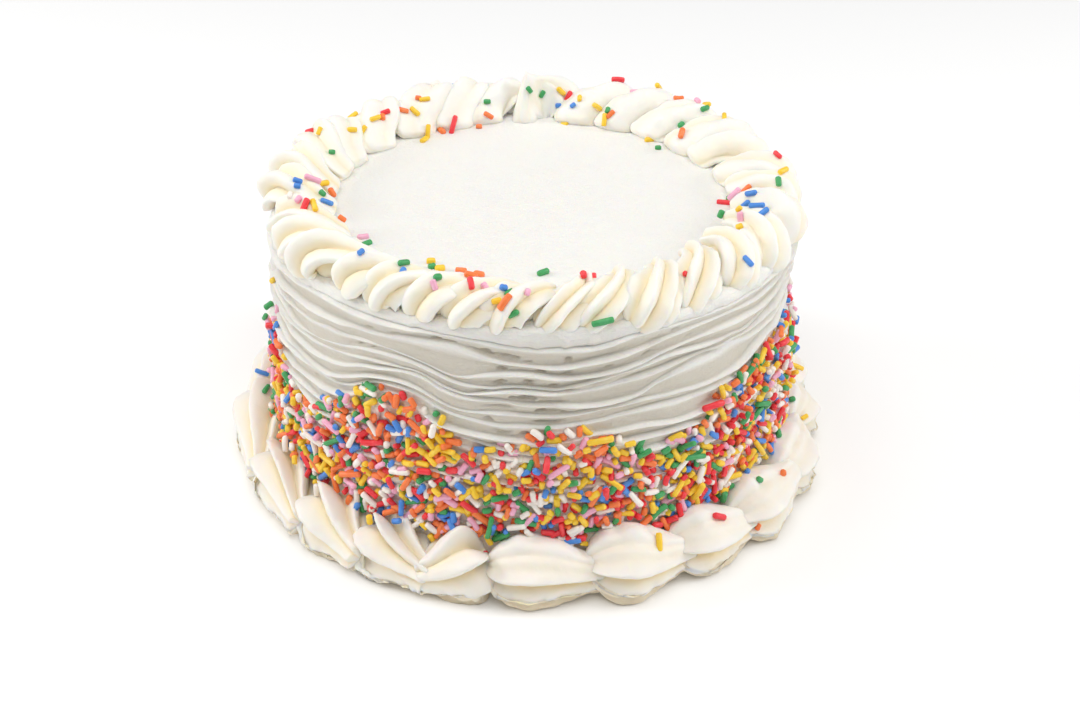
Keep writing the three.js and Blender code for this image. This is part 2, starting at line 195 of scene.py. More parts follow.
def make_drum():
    na = 576
    a = np.arange(na) * 2 * math.pi / na
    ring = np.stack([97 * np.cos(a), 97 * np.sin(a)], 1)

    def round_noise(key, size, seed):
        return noise(np.stack([ring[:, 0], ring[:, 1], np.full(na, key * 31.0)], 1), (size, size, 3), seed)

    # the comb's ledges: uneven bands, each ledge wandering a little and fading in and out
    levels, heights = [31.0], []
    while levels[-1] < 93.5:
        k = len(levels)
        levels.append(levels[-1] + 5.0 * (1 + 0.5 * uneven(k, 31)))
    ledges, amps = [], []
    for k, level in enumerate(levels):
        y = level + 2.6 * round_noise(k, 30, 14) + 0.5 * round_noise(k, 11, 16)
        z = y.copy()
        for _ in range(25):
            z = y + comb_shift(a, z) * smooth(26, 44, z)
        z = np.minimum(z, 97.2 - 0.5 * (len(levels) - 1 - k))
        ledges.append(np.maximum(z, ledges[-1] + 0.8) if ledges else z)
        amps.append(np.clip(1.65 + 2.2 * round_noise(k, 24, 5) + 0.5 * round_noise(k, 9, 6), 0.12, 2.8))
    torn_zone = np.exp(-(wrap(a, 260) / (30 * DEG)) ** 2)
    shape = [(0.0, 0.0), (0.15, 0.12), (0.30, 0.27), (0.45, 0.43), (0.60, 0.60), (0.73, 0.78),
             (0.84, 1.0), (0.90, 0.98), (0.95, 0.50)]
    # the last list holds, row by row, how much painted shade the wall gets
    zs, rs, pits, face_shade = [], [], [], []

    def row(z, extra, pit=None, shade_weight=0.6):
        zs.append(z)
        rs.append(wall_radius(z) + extra)
        pits.append(np.zeros(na) if pit is None else pit)
        face_shade.append(np.full(na, shade_weight))

    for z in (0.0, 5.0, 10.0):
        row(np.full(na, z), np.zeros(na))
    for t in np.linspace(0, 1, 15)[:-1]:
        z = mix(12.0, ledges[0], t)
        p = np.stack([ring[:, 0], ring[:, 1], z], 1)
        row(z, 0.35 * noise(p, (19, 19, 7), 11) + 0.14 * noise(p, (6, 6, 3), 12))
    for k in range(len(ledges) - 1):
        for t, f in shape:
            z = mix(ledges[k], ledges[k + 1], t)
            p = np.stack([ring[:, 0], ring[:, 1], z], 1)
            y = k * 5.2 + 5.2 * t
            q = np.stack([ring[:, 0], ring[:, 1], np.full(na, y * 6.0)], 1)
            relief = amps[k] * f + 0.22 * math.exp(-((t - 0.87) / 0.05) ** 2)
            relief = relief - 0.85 + 0.34 * (1 - np.abs(noise(q, (19, 19, 8), 6))) ** 4 + 0.26 * noise(q, (8, 8, 4), 7)
            relief = relief + 0.45 * noise(p, (30, 30, 16), 8)
            # torn pits and tears where the comb dragged on the icing
            where = smooth(-0.25, 0.25, noise(p, (23, 23, 12), 10)) * mix(0.2, 1.0, torn_zone)
            torn = noise(np.stack([ring[:, 0], ring[:, 1], np.full(na, y * 2.4)], 1), (4.4, 4.4, 3.4), 9)
            tear = noise(np.stack([ring[:, 0], ring[:, 1], np.full(na, y * 5.0)], 1), (7.5, 7.5, 5.0), 15)
            low = math.exp(-((t - 0.3) / 0.17) ** 2)
            pit = low * (2.0 * smooth(0.46, 0.60, torn) + 1.5 * smooth(0.44, 0.58, tear)) * where
            near_top = smooth(94, 97, ledges[k]) * 0.6
            fade = smooth(22, 34, z) * (1 - near_top)
            # painted shade weight: full on each band's down-facing face, none on its up-facing ledge
            row(z, fade * (relief - pit), fade * pit, 0.0 if 0.8 < t < 0.97 else 1.0 if t < 0.7 else 0.6)
    # a smooth collar that swells out over the comb's last line and rounds in to the top
    for t, swell_out in ((0.0, -0.6), (0.10, 0.0), (0.22, 0.25), (0.38, 0.35), (0.58, 0.3), (0.78, 0.2), (1.0, -0.05)):
        z = mix(ledges[-1], 99.5, t)
        p = np.stack([ring[:, 0], ring[:, 1], z], 1)
        crumbs = 0.9 * np.clip(noise(p, (3.0, 3.0, 2.2), 18), 0, 1) + 0.45 * noise(p, (7, 7, 2.0), 19)
        row(z, swell_out + 0.28 * noise(p, (19, 19, 7), 11) + crumbs * smooth(99.5, 98, z))
    edge_r = rs[-1]
    for inset, z in ((0.5, 100.35), (1.5, 100.85), (3.4, 101.0)):
        zs.append(np.full(na, z))
        rs.append(edge_r - inset)
        pits.append(np.zeros(na))
        face_shade.append(np.zeros(na))
    rows = [np.stack([r * np.cos(a), r * np.sin(a), z], 1) for r, z in zip(rs, zs)]
    for radius in (90, 84, 77, 70, 60, 48, 34, 18):
        p = np.stack([radius * np.cos(a), radius * np.sin(a), np.full(na, TOP_Z)], 1)
        p[:, 2] += 0.22 * noise(p, (46, 46, 40), 21) + 0.05 * noise(p, (11, 11, 9), 22)
        rows.append(p)
        pits.append(np.zeros(na))
        face_shade.append(np.zeros(na))
    verts = np.concatenate([[[0, 0, 0]], np.array(rows).reshape(-1, 3), [[0, 0, TOP_Z]]])
    # the pits' depth is the mask of the painted shade in them
    deep = smooth(0.25, 1.2, np.concatenate([[0], np.array(pits).ravel(), [0]]))
    quads, tris = tube_faces(len(rows), na)
    r, ang = polar(verts)
    top = band_top(ang)
    in_band = smooth(3, -5, verts[:, 2] - top) * smooth(90, 94, r) * smooth(10, 18, verts[:, 2])
    # painted shade on the wall outside the sprinkle band: strongest on the band faces, none on the ledges and the top
    wall_painted_shade = smooth(91, 93, r) * smooth(99.5, 93, verts[:, 2]) * (1 - in_band) * np.concatenate([[0], np.array(face_shade).ravel(), [0]])
    ob = mesh_object("frosted_drum", verts, quads, tris, {"recess_shade": deep, "bleed": in_band, "wall_painted_shade": wall_painted_shade})
    return ob, verts, quads, tris


# Upper edge of the sprinkle band round the wall: (degrees, height).
BAND_EDGE = [(197, 69), (205, 56), (212, 48), (218, 47), (225, 55), (232, 66), (238, 71), (244, 69),
             (252, 65), (257, 53), (265, 55), (272, 62), (278, 63), (284, 60), (291, 54), (297, 46),
             (301, 53), (307, 52), (311, 63), (320, 65), (329, 68), (338, 73), (346, 66)]


def band_top(a):
    deg = (np.degrees(a) - 197) % 360 + 197
    xs = [d for d, _ in BAND_EDGE]
    zs = [z for _, z in BAND_EDGE]
    back = 58 + 8 * np.sin(deg * DEG * 5 + 0.7) + 5 * np.sin(deg * DEG * 13 + 2.0)
    front = np.interp(deg, xs, zs)
    w = smooth(346, 356, deg) * (1 - smooth(548, 557, deg))
    return mix(front, back, w)


# ---------------------------------------------------------------- piped strokes
def swell(s, head, tail, full):
    nose = np.sqrt(np.clip(1 - (1 - np.minimum(1, s / full)) ** 2, 0, None))
    body = mix(head, tail, smooth(full, 0.97, s))
    end = np.sqrt(np.clip(1 - np.clip((s - 0.93) / 0.07, 0, None) ** 2, 0, None))
    return nose * body * mix(0.35, 1, end)


def bezier(p, s):
    p = np.asarray(p, float)
    q = 1 - s
    w = np.stack([q ** 3, 3 * q * q * s, 3 * q * s * s, s ** 3], 1)
    return w @ p


def place(start, circle, q):
    a = start + q[:, 1] / circle
    return np.stack([(circle + q[:, 0]) * np.cos(a), (circle + q[:, 0]) * np.sin(a), q[:, 2]], 1)


def unit(v):
    return v / np.linalg.norm(v, axis=-1, keepdims=True)


def lobes_round(th, grooves, hidden, crest, skew, sharp):
    """0 in the grooves to 1 on the crests of the lobes round a section."""
    th = (th - grooves[0]) % 360.0
    span = grooves[-1] - grooves[0]
    shown = len(grooves) - 1
    x = np.where(th < span, np.interp(th, [g - grooves[0] for g in grooves], range(shown + 1)),
                 (th - span) / (360.0 - span) * hidden)
    count = np.where(th < span, shown, hidden)
    x = x + skew * np.sin(math.pi * x / count)
    u = np.clip(x - np.floor(x), 1e-6, 1 - 1e-6)
    round_form = np.sin(math.pi * u ** (math.log(0.5) / math.log(crest))) ** 0.7
    tent = np.where(u < crest, (u / crest) ** 0.9, (1 - u) / (1 - crest))
    return mix(round_form, tent, sharp)


def stroke(start, circle, path, radii, wave, low, high, setback, side, stations, sides, nose=0.12,
           flat_tail=0.0):
    """A lobed rope along a path; wave(s, degrees) is 0 in the grooves and 1 on the
    crests, and the grooves begin a little further along than the crests."""
    s = np.asarray(stations, float)
    c = place(start, circle, path(s))
    t = unit(place(start, circle, path(np.minimum(1, s + 0.01))) - place(start, circle, path(np.maximum(0, s - 0.01))))
    a = start + path(s)[:, 1] / circle
    ref = np.stack([-np.sin(a), np.cos(a), 0 * a], 1) if side == "round" else np.tile([0.0, 0.0, 1.0], (len(s), 1))
    e2 = unit(ref - t * np.sum(ref * t, 1, keepdims=True))
    e1 = unit(np.cross(e2, t))
    th = np.arange(sides) * 2 * math.pi / sides
    S, TH = np.meshgrid(s, th, indexing="ij")
    crest = wave(S, np.degrees(TH))
    ra, rb = radii(np.maximum(0.003, S - setback * (1 - crest)))
    fade = smooth(0.0, nose, S)
    fade = fade * (1 - flat_tail * smooth(0.5, 0.85, S))
    k = mix(mix(mix(low, high, 0.6), low, fade), high, crest)
    pts = (c[:, None, :]
           + (ra * k * np.cos(TH))[..., None] * e1[:, None, :]
           + (rb * k * np.sin(TH))[..., None] * e2[:, None, :])
    first = place(start, circle, path(np.array([0.0])))
    last = place(start, circle, path(np.array([1.0])))
    verts = np.concatenate([first, pts.reshape(-1, 3), last])
    crest = np.concatenate([[1.0], crest.ravel(), [1.0]])
    normal = np.concatenate([
        -t[:1],
        (np.cos(TH)[..., None] * e1[:, None, :] + np.sin(TH)[..., None] * e2[:, None, :]).reshape(-1, 3),
        t[-1:],
    ])
    return verts, crest, normal


def foot_shell(i, starts):
    a0 = starts[i] * DEG
    a1 = (starts[i + 1] if i + 1 < len(starts) else starts[0] + 360) * DEG
    rev = i == FOOT_REVERSED
    pitch = (a1 - a0) * FOOT_R
    size = (1 + 0.06 * uneven(i, 1)) * mix(0.93, 1.04, float(smooth(24, 40, pitch)))
    length = pitch + 9
    lean = 1.6 * uneven(i, 2)
    # on the left the shells fan out from the wall, elsewhere they lie along it
    at = starts[i] % 360
    fan = float(smooth(110, 150, at) * smooth(263, 252, at))

    def path(s):
        drop = smooth(0.3, 1, s)
        t = (0.84 - 0.99 * s) * pitch if rev else mix(s * length - 2.5, (0.02 + 1.06 * s) * pitch, fan)
        return np.stack([
            mix(FOOT_DRIFT * drop + lean * s, mix(FAN_FROM[0], FAN_TO[0], s), fan), t,
            mix(mix(FOOT_HEAD_Z * size - 0.8, FOOT_TAIL_Z + 2.5 * uneven(i, 7), drop), mix(FAN_FROM[1], FAN_TO[1], s), fan)], 1)

    def radii(s):
        wide = size * (1 + 0.07 * fan)
        high = wide * (1 if rev or fan > 0.5 else 0.9)
        full = mix(0.34, 0.24, fan)
        return swell(s, FOOT_HEAD[0] * wide, FOOT_TAIL[0], full), swell(s, FOOT_HEAD[1] * high, FOOT_TAIL[1], full)

    open_fan = rev or fan > 0.5
    grooves = CLOSING_GROOVES if rev else FAN_GROOVES if open_fan else SHINGLE_GROOVES
    grooves = [g + 7 * uneven(i, 5 + k) * (1 if open_fan else 0.6) for k, g in enumerate(grooves)]
    twist = 0.15 * uneven(i, 4) / DEG
    top_crest = 1 - FAN_CREST if rev else FAN_CREST if open_fan else SHINGLE_CREST
    skew = (0.22 if open_fan else 0.08) * uneven(i, 8)

    def wave(s, th):
        bend = (6 if open_fan else 3) * np.sin(5.0 * s + i * 1.7)
        th = th - twist * (s - 0.5) - bend
        w = lobes_round(th, grooves, 3, top_crest, skew, 0.9 if open_fan else 0.7)
        if open_fan:
            return w
        # a shingle's upper grooves are shallow, the one under its crest is deep and its upper edge is wavy
        upper = smooth(150, 128, th) * smooth(0, 20, th)
        wavy = 0.22 * np.sin(17.0 * s + i * 2.1) * smooth(0.15, 0.3, s) * np.exp(-((th - 100) / 18.0) ** 2)
        below_crest = np.exp(-((th - 180) / 15.0) ** 2)
        return np.clip(1 - (1 - w) * (1 - 0.5 * upper + 0.4 * below_crest) + wavy, -0.4, 1.25)

    depth = 1 + 0.2 * uneven(i, 3)
    stations = np.concatenate([np.linspace(0.004, 0.1, 11), np.linspace(0.115, 0.97, 40), [0.985]])
    sides = 98
    verts, crest, n = stroke(a0, FOOT_R, path, radii, wave, 1 - (0.46 if open_fan else 0.28) * depth, 1.13,
                             mix(0.07, 0.17, fan), "up", stations, sides)
    # soft unevenness and small drags
    p = verts + i * 7.3
    verts = verts + n * (0.5 * fractal(p, 9.0, 31) + 0.12 * fractal(p, 2.4, 32, 2))[:, None]
    # the lowest lobe ends in a ragged lip over a slightly recessed foot
    r, a = polar(verts)
    th = np.arange(sides) * 360.0 / sides
    th = (180 - th) % 360 if rev else th
    lowest = smooth(198, 206, th) * smooth(256, 240, th)
    grid = r[1:-1].reshape(len(stations), sides)
    reach = grid.max(1, keepdims=True) - 0.6
    pull = np.concatenate([[0], ((np.maximum(grid, reach) - grid) * lowest[None, :]).ravel(), [0]])
    verts[:, 0] += pull * np.cos(a)
    verts[:, 1] += pull * np.sin(a)
    r, a = polar(verts)
    out = np.stack([np.cos(a), np.sin(a), 0 * a], 1)
    outside = smooth(100, 106, r)
    around = np.stack([105 * np.cos(a), 105 * np.sin(a), 0 * a + i * 9.1], 1)
    lip = mix(4.6, 2.6, fan) + 1.1 * fractal(around, 6.0, 33, 3)
    # under marks the recessed underside below the lip; it is pulled in and painted with shade
    under = smooth(lip + 0.5, lip - 0.5, verts[:, 2]) * outside
    ragged = mix(0.7, 0.5, fan) * fractal(p, (3.8, 3.8, 2.6), 34, 2) * smooth(9, 4, verts[:, 2])
    verts = verts + out * (ragged - mix(1.3, 1.7, fan) * under)[:, None]
    verts[:, 2] = np.maximum(verts[:, 2], 0.0)
    return verts, np.clip(1 - crest, 0, 1) ** 1.7, under, stations, sides


def edge_swirl(i, starts):
    a0 = starts[i] * DEG
    a1 = (starts[i + 1] if i + 1 < len(starts) else starts[0] + 360) * DEG
    pitch = (a1 - a0) * EDGE_R
    size = (1 + 0.07 * uneven(i, 11)) * mix(0.94, 1.18, float(smooth(12, 19, pitch)))
    drift = 13 + 2.5 * uneven(i, 12)
    lift = PEAK_LIFT if i == PEAK_SWIRL else 0.0
    out = 14.2 + 1.2 * uneven(i, 13) - EDGE_HEAD
    # the curls are tight on the left and at the back, and open on the front right
    at = math.degrees(a0) % 360
    open_curl = float(smooth(262, 280, at) * (1 - smooth(335, 350, at)))
    curl = mix(1.0, 0.0, open_curl) + 0.6 * uneven(i, 21)
    back = float(smooth(0.1, 0.7, math.sin(a0)))
    broad = max(back, 0.6 * (1 - open_curl))
    points = [
        [out + 1.4, -1.0 - 3.0 * open_curl, TOP_Z - 3.2 + 0.8 * uneven(i, 14)],
        [out + mix(4.0, 2.4, open_curl), -6.0 * curl + 3.0 * open_curl, TOP_Z + mix(7.0, 3.0, open_curl) - 0.1 * lift],
        [out - mix(2.0, 7.0, open_curl), mix(11.0, 15.0, open_curl) + 0.5 * lift, TOP_Z + 9.6 + 0.9 * uneven(i, 15) + 2.05 * lift],
        [mix(-9.5, -11.5, open_curl) + 1.5 * uneven(i, 16), drift + mix(0.5, 5.0, open_curl) - 0.1 * lift, TOP_Z + 0.8 - 0.9 * broad],
    ]

    def radii(s):
        # the tails are broad and flat and run into each other, but not on the front right
        head = (EDGE_HEAD - 0.8 * open_curl) * size
        thin = 1 - (0.68 if lift else 0.0) * smooth(0.12, 0.6, s)
        return (swell(s, head, mix(EDGE_TAIL, 3.3, broad), 0.3) * thin,
                swell(s, head * mix(1.0, 1.1, back), mix(EDGE_TAIL, 8.0, broad), 0.3) * thin)

    twist = EDGE_TWIST * (1 + 0.3 * uneven(i, 18)) * mix(1.5, 1.0, open_curl) / DEG
    skew = -0.3 + 0.25 * uneven(i, 20)
    lobes = EDGE_LOBES + (1 if open_curl > 0.5 else -1 if uneven(i, 22) > 0.35 else 0)

    def wave(s, th):
        bend = 14 * np.sin(4.0 * s + i * 2.3)
        return lobes_round(th - twist * (s - 0.5) - bend, EDGE_GROOVES[lobes], 2, LOBE_CREST, skew, 0.45)

    depth = 1 + 0.2 * uneven(i, 17)
    stations = np.concatenate([np.linspace(0.004, 0.1, 10), np.linspace(0.115, 0.97, 34), [0.985]])
    sides = 76
    # the swirls of the far side and the right are softer, with shallower grooves and less painted shade in them
    soft = 1 - max(0.68 * back, 0.4 * float(smooth(0.7, 0.95, math.cos(a0))))
    verts, crest, n = stroke(a0, EDGE_R, lambda q: bezier(points, q), radii, wave, 1 - 0.48 * depth * soft, 1.15,
                             0.0, "round", stations, sides, 0.22, mix(0.9, 0.3, open_curl))
    crest = 1 - (1 - crest) * soft
    p = verts + i * 5.1
    verts = verts + n * (0.6 * fractal(p, 8.0, 41) + 0.10 * fractal(p, 2.0, 42, 2))[:, None]
    if lift:
        # the pulled-up tip is a fin: narrow above, filled and broad down to the top
        middle = place(a0, EDGE_R, bezier(points, stations))
        middle = np.concatenate([verts[:1], np.repeat(middle, sides, 0), verts[-1:]])
        down = smooth(0.2, -0.4, n[:, 2])
        verts[:, :2] += (verts - middle)[:, :2] * (1.5 * down * smooth(0.2, 0.6, np.repeat(
            np.concatenate([[0], stations, [1]]), [1] + [sides] * len(stations) + [1])))[:, None]
        verts[:, 2] = mix(verts[:, 2], np.minimum(verts[:, 2], TOP_Z - 1.0), down)
        ring = 1 + sides * int(np.argmin(np.abs(stations - 0.7)))
        nib = verts[ring + int(np.argmax(verts[ring:ring + sides, 2]))]
        point = np.exp(-np.hypot(verts[:, 0] - nib[0], verts[:, 1] - nib[1]) / 2.4) * (1 - down)
        verts[:, 2] += 4.2 * point
        verts[:, 0] -= 1.6 * point
    return verts, 1 - crest, 0 * crest, stations, sides


def spread(front, count, start):
    to = front[0] + 360
    return front + [start + ((to - start) * (i + 0.22 * uneven(i, len(front)))) / count for i in range(count)]


# ---------------------------------------------------------------- materials
def nodes_of(name):
    m = bpy.data.materials.new(name)
    m.use_nodes = True
    nt = m.node_tree
    b = nt.nodes["Principled BSDF"]
    return m, nt, b


def add(nt, kind, **values):
    n = nt.nodes.new(kind)
    for k, v in values.items():
        if isinstance(k, str) and k in n.inputs:
            n.inputs[k].default_value = v
        else:
            setattr(n, k, v)
    return n


def noise_node(nt, coords, scale, detail=3.0, rough=0.55):
    n = nt.nodes.new("ShaderNodeTexNoise")
    n.inputs["Scale"].default_value = scale
    n.inputs["Detail"].default_value = detail
    n.inputs["Roughness"].default_value = rough
    nt.links.new(coords, n.inputs["Vector"])
    return n


def ramp(nt, value, stops):
    n = nt.nodes.new("ShaderNodeValToRGB")
    while len(n.color_ramp.elements) > len(stops):
        n.color_ramp.elements.remove(n.color_ramp.elements[-1])
    while len(n.color_ramp.elements) < len(stops):
        n.color_ramp.elements.new(0.5)
    for e, (pos, col) in zip(n.color_ramp.elements, stops):
        e.position = pos
        e.color = (*col, 1) if len(col) == 3 else col
    nt.links.new(value, n.inputs["Fac"])
    return n


def mixed(nt, fac, a, b):
    n = nt.nodes.new("ShaderNodeMix")
    n.data_type = "RGBA"
    if hasattr(fac, "links"):
        nt.links.new(fac, n.inputs["Factor"])
    else:
        n.inputs["Factor"].default_value = fac
    for key, v in (("A", a), ("B", b)):
        sock = [s for s in n.inputs if s.name == key and s.type == "RGBA"][0]
        if hasattr(v, "links"):
            nt.links.new(v, sock)
        else:
            sock.default_value = (*v, 1)
    return [s for s in n.outputs if s.type == "RGBA"][0]


ICING = (0.880, 0.865, 0.820)
# painted shade for the combed wall
ICING_WALL_SHADE = (0.690, 0.640, 0.545)
ICING_PIPED = (0.955, 0.930, 0.870)
ICING_SHELL = (0.912, 0.880, 0.822)
# painted warm shade for the grooves of the piped borders
ICING_GROOVE_SHADE = (0.95, 0.74, 0.36)
# painted shade in the wall's torn pits
ICING_PIT_SHADE = (0.50, 0.43, 0.33)
ICING_BLEED = (1.0, 0.84, 0.72)
# painted shade on the recessed underside below the shells' lips
ICING_UNDER_SHADE = (0.76, 0.65, 0.47)


def icing_material(name, tint, recess_shade, recess_shade_by, grain, depth, bleed=False, under_shade=False):
    m, nt, b = nodes_of(name)
    co = nt.nodes.new("ShaderNodeTexCoord").outputs["Object"]
    tone = noise_node(nt, co, 34.0, 3.0)
    base = ramp(nt, tone.outputs["Fac"], [(0.3, tuple(c * 0.985 for c in tint)), (0.7, tint)]).outputs["Color"]
    # on the combed wall the colour is darkened to a painted shade by the wall mask
    if bleed:
        side = nt.nodes.new("ShaderNodeAttribute")
        side.attribute_name = "wall_painted_shade"
        base = mixed(nt, side.outputs["Fac"], base, ICING_WALL_SHADE)
    # painted shade in the pits and grooves, by the groove mask
    recess_shade_mask = nt.nodes.new("ShaderNodeAttribute")
    recess_shade_mask.attribute_name = "recess_shade"
    scale = add(nt, "ShaderNodeMath", operation="MULTIPLY")
    nt.links.new(recess_shade_mask.outputs["Fac"], scale.inputs[0])
    scale.inputs[1].default_value = recess_shade_by
    # on the wall the painted shade in the pits is broken into streaks along the comb
    if bleed:
        along = add(nt, "ShaderNodeMapping")
        along.inputs["Scale"].default_value = (1.0, 1.0, 5.0)
        nt.links.new(co, along.inputs["Vector"])
        streak = ramp(nt, noise_node(nt, along.outputs["Vector"], 260.0, 3.0, 0.6).outputs["Fac"],
                      [(0.47, (0.18,) * 3), (0.56, (1.0,) * 3)])
        broken = add(nt, "ShaderNodeMath", operation="MULTIPLY")
        nt.links.new(scale.outputs[0], broken.inputs[0])
        nt.links.new(streak.outputs["Color"], broken.inputs[1])
        scale = broken
    colour = mixed(nt, scale.outputs[0], base, recess_shade)
    if bleed:
        tint = nt.nodes.new("ShaderNodeAttribute")
        tint.attribute_name = "bleed"
        patch = noise_node(nt, co, 90.0, 2.0)
        much = ramp(nt, patch.outputs["Fac"], [(0.36, (0.25, 0.25, 0.25)), (0.66, (0.85, 0.85, 0.85))])
        part = add(nt, "ShaderNodeMath", operation="MULTIPLY")
        nt.links.new(tint.outputs["Fac"], part.inputs[0])
        nt.links.new(much.outputs["Color"], part.inputs[1])
        colour = mixed(nt, part.outputs[0], colour, ICING_BLEED)
    # painted shade on the shells' recessed undersides
    if under_shade:
        under_shade_mask = nt.nodes.new("ShaderNodeAttribute")
        under_shade_mask.attribute_name = "under"
        colour = mixed(nt, under_shade_mask.outputs["Fac"], colour, ICING_UNDER_SHADE)
    nt.links.new(colour, b.inputs["Base Color"])
    rough = ramp(nt, noise_node(nt, co, 160.0, 2.0).outputs["Fac"], [(0.3, (0.42,) * 3), (0.7, (0.58,) * 3)])
    nt.links.new(rough.outputs["Color"], b.inputs["Roughness"])
    b.inputs["Specular IOR Level"].default_value = 0.38
    b.inputs["Subsurface Weight"].default_value = 0.55
    b.inputs["Subsurface Radius"].default_value = (1.0, 0.72, 0.42)
    b.inputs["Subsurface Scale"].default_value = depth
    fine = noise_node(nt, co, 900.0, 3.0, 0.6)
    drag = add(nt, "ShaderNodeMapping")
    drag.inputs["Scale"].default_value = (1.0, 1.0, 7.0 if bleed else 1.0)
    nt.links.new(co, drag.inputs["Vector"])
    mid = noise_node(nt, drag.outputs["Vector"], 170.0 if bleed else 260.0, 3.0, 0.6)
    both = add(nt, "ShaderNodeMath", operation="ADD")
    nt.links.new(fine.outputs["Fac"], both.inputs[0])
    nt.links.new(mid.outputs["Fac"], both.inputs[1])
    bump = nt.nodes.new("ShaderNodeBump")
    bump.inputs["Strength"].default_value = grain
    bump.inputs["Distance"].default_value = 0.00055 if bleed else 0.00035
    nt.links.new(both.outputs[0], bump.inputs["Height"])
    nt.links.new(bump.outputs["Normal"], b.inputs["Normal"])
    return m


def strand_material(name, colour, pale):
    m, nt, b = nodes_of(name)
    co = nt.nodes.new("ShaderNodeTexCoord").outputs["Object"]
    spots = noise_node(nt, co, 420.0, 3.0)
    base = ramp(nt, spots.outputs["Fac"], [(0.30, tuple(c * 0.93 for c in colour)), (0.55, colour), (0.80, pale)])
    nt.links.new(base.outputs["Color"], b.inputs["Base Color"])
    b.inputs["Roughness"].default_value = 0.40
    b.inputs["Specular IOR Level"].default_value = 0.42
    b.inputs["Subsurface Weight"].default_value = 0.22
    b.inputs["Subsurface Radius"].default_value = (1.0, 0.8, 0.7)
    b.inputs["Subsurface Scale"].default_value = 0.0007
    bump = nt.nodes.new("ShaderNodeBump")
    bump.inputs["Strength"].default_value = 0.35
    bump.inputs["Distance"].default_value = 0.0002
    nt.links.new(noise_node(nt, co, 1100.0, 2.0).outputs["Fac"], bump.inputs["Height"])
    nt.links.new(bump.outputs["Normal"], b.inputs["Normal"])
    return m


# the second colour of each material is painted shade for its pits or grooves
wall_icing = icing_material("icing_combed", ICING, ICING_PIT_SHADE, 0.8, 0.9, 0.0007, bleed=True)
foot_icing = icing_material("icing_foot_shells", ICING_SHELL, ICING_GROOVE_SHADE, 0.7, 0.3, 0.0012, under_shade=True)
edge_icing = icing_material("icing_edge_swirls", ICING_PIPED, ICING_GROOVE_SHADE, 0.72, 0.25, 0.0014)

# name: (colour, paler worn colour, share of the mix), all linear
STRANDS = {
    "red": ((0.90, 0.032, 0.045), (0.94, 0.11, 0.11), 0.165),
    "orange": ((1.0, 0.20, 0.045), (1.0, 0.28, 0.10), 0.19),
    "yellow": ((1.0, 0.62, 0.030), (1.0, 0.70, 0.11), 0.22),
    "green": ((0.042, 0.345, 0.095), (0.09, 0.41, 0.16), 0.105),
    "blue": ((0.060, 0.250, 0.74), (0.12, 0.35, 0.80), 0.10),
    "pink": ((0.95, 0.45, 0.62), (0.96, 0.58, 0.70), 0.09),
    "white": ((0.98, 0.90, 0.82), (0.99, 0.94, 0.89), 0.19),
}

# ---------------------------------------------------------------- build the icing
tree_verts, tree_faces = [], []


def remember(verts, quads, tris):
    base = sum(len(v) for v in tree_verts)
    tree_verts.append(verts)
    tree_faces.extend((np.asarray(quads) + base).tolist())
    tree_faces.extend((np.asarray(tris) + base).tolist())


drum, v, q, t = make_drum()
remember(v, q, t)
drum.data.materials.append(wall_icing)
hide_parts("cake_body")
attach(drum, "root")

for node, starts, maker, material in (
    ("bottom_shell", spread(FOOT_FRONT, FOOT_BACK, FOOT_BACK_FROM), foot_shell, foot_icing),
    ("top_shell", spread(EDGE_FRONT, EDGE_BACK, EDGE_BACK_FROM), edge_swirl, edge_icing),
):
    for i in range(len(starts)):
        verts, groove, under, stations, sides = maker(i, starts)
        quads, tris = tube_faces(len(stations), sides)
        name = f"{node}_{i + 1:02d}"
        # the groove mask carries the painted warm shade in the grooves, the under mask the painted shade below the
        # shells' lips
        ob = mesh_object(name + "_icing", verts, quads, tris, {"recess_shade": groove, "under": under})
        ob.data.materials.append(material)
        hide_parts(name)
        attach(ob, "root")
        remember(verts, quads, tris)

everything = np.concatenate(tree_verts)
tree = BVHTree.FromPolygons([Vector(p) for p in everything], tree_faces)

# ---------------------------------------------------------------- camera
# Position and angle worked out from the photograph, in the cake's axis frame.
PITCH, YAW, ROLL = math.radians(31.34), math.radians(-0.13), math.radians(0.92)
CAM = Vector((4.8, -508.2, 341.1))
fwd = Vector((math.sin(YAW) * math.cos(PITCH), math.cos(YAW) * math.cos(PITCH), -math.sin(PITCH)))
right = Vector((math.cos(YAW), -math.sin(YAW), 0))
up = right.cross(fwd)
right, up = right * math.cos(ROLL) + up * math.sin(ROLL), -right * math.sin(ROLL) + up * math.cos(ROLL)
cam_data = bpy.data.cameras.new("camera")
cam_data.lens = 50.0
cam_data.sensor_width = 36.0
cam_data.sensor_fit = "HORIZONTAL"
cam = bpy.data.objects.new("camera", cam_data)
rot = Matrix((right, up, -fwd)).transposed().to_4x4()
cam.matrix_world = Matrix.Translation((CAM + Vector(AXIS)) / 1000.0) @ rot
bpy.context.scene.collection.objects.link(cam)
bpy.context.scene.camera = cam


def sight(u, v):
    """Where the line of sight through pixel (u, v) of the 1080 x 719 frame lands."""
    d = fwd + right * ((u - 540.0) / 1500.0) - up * ((v - 359.5) / 1500.0)
    hit, normal, _, _ = tree.ray_cast(CAM, d.normalized(), 2000.0)
    return hit, normal


# ---------------------------------------------------------------- sugar strands
rnd = random.Random(417)
strands = {k: [] for k in STRANDS}
SIDES = 7


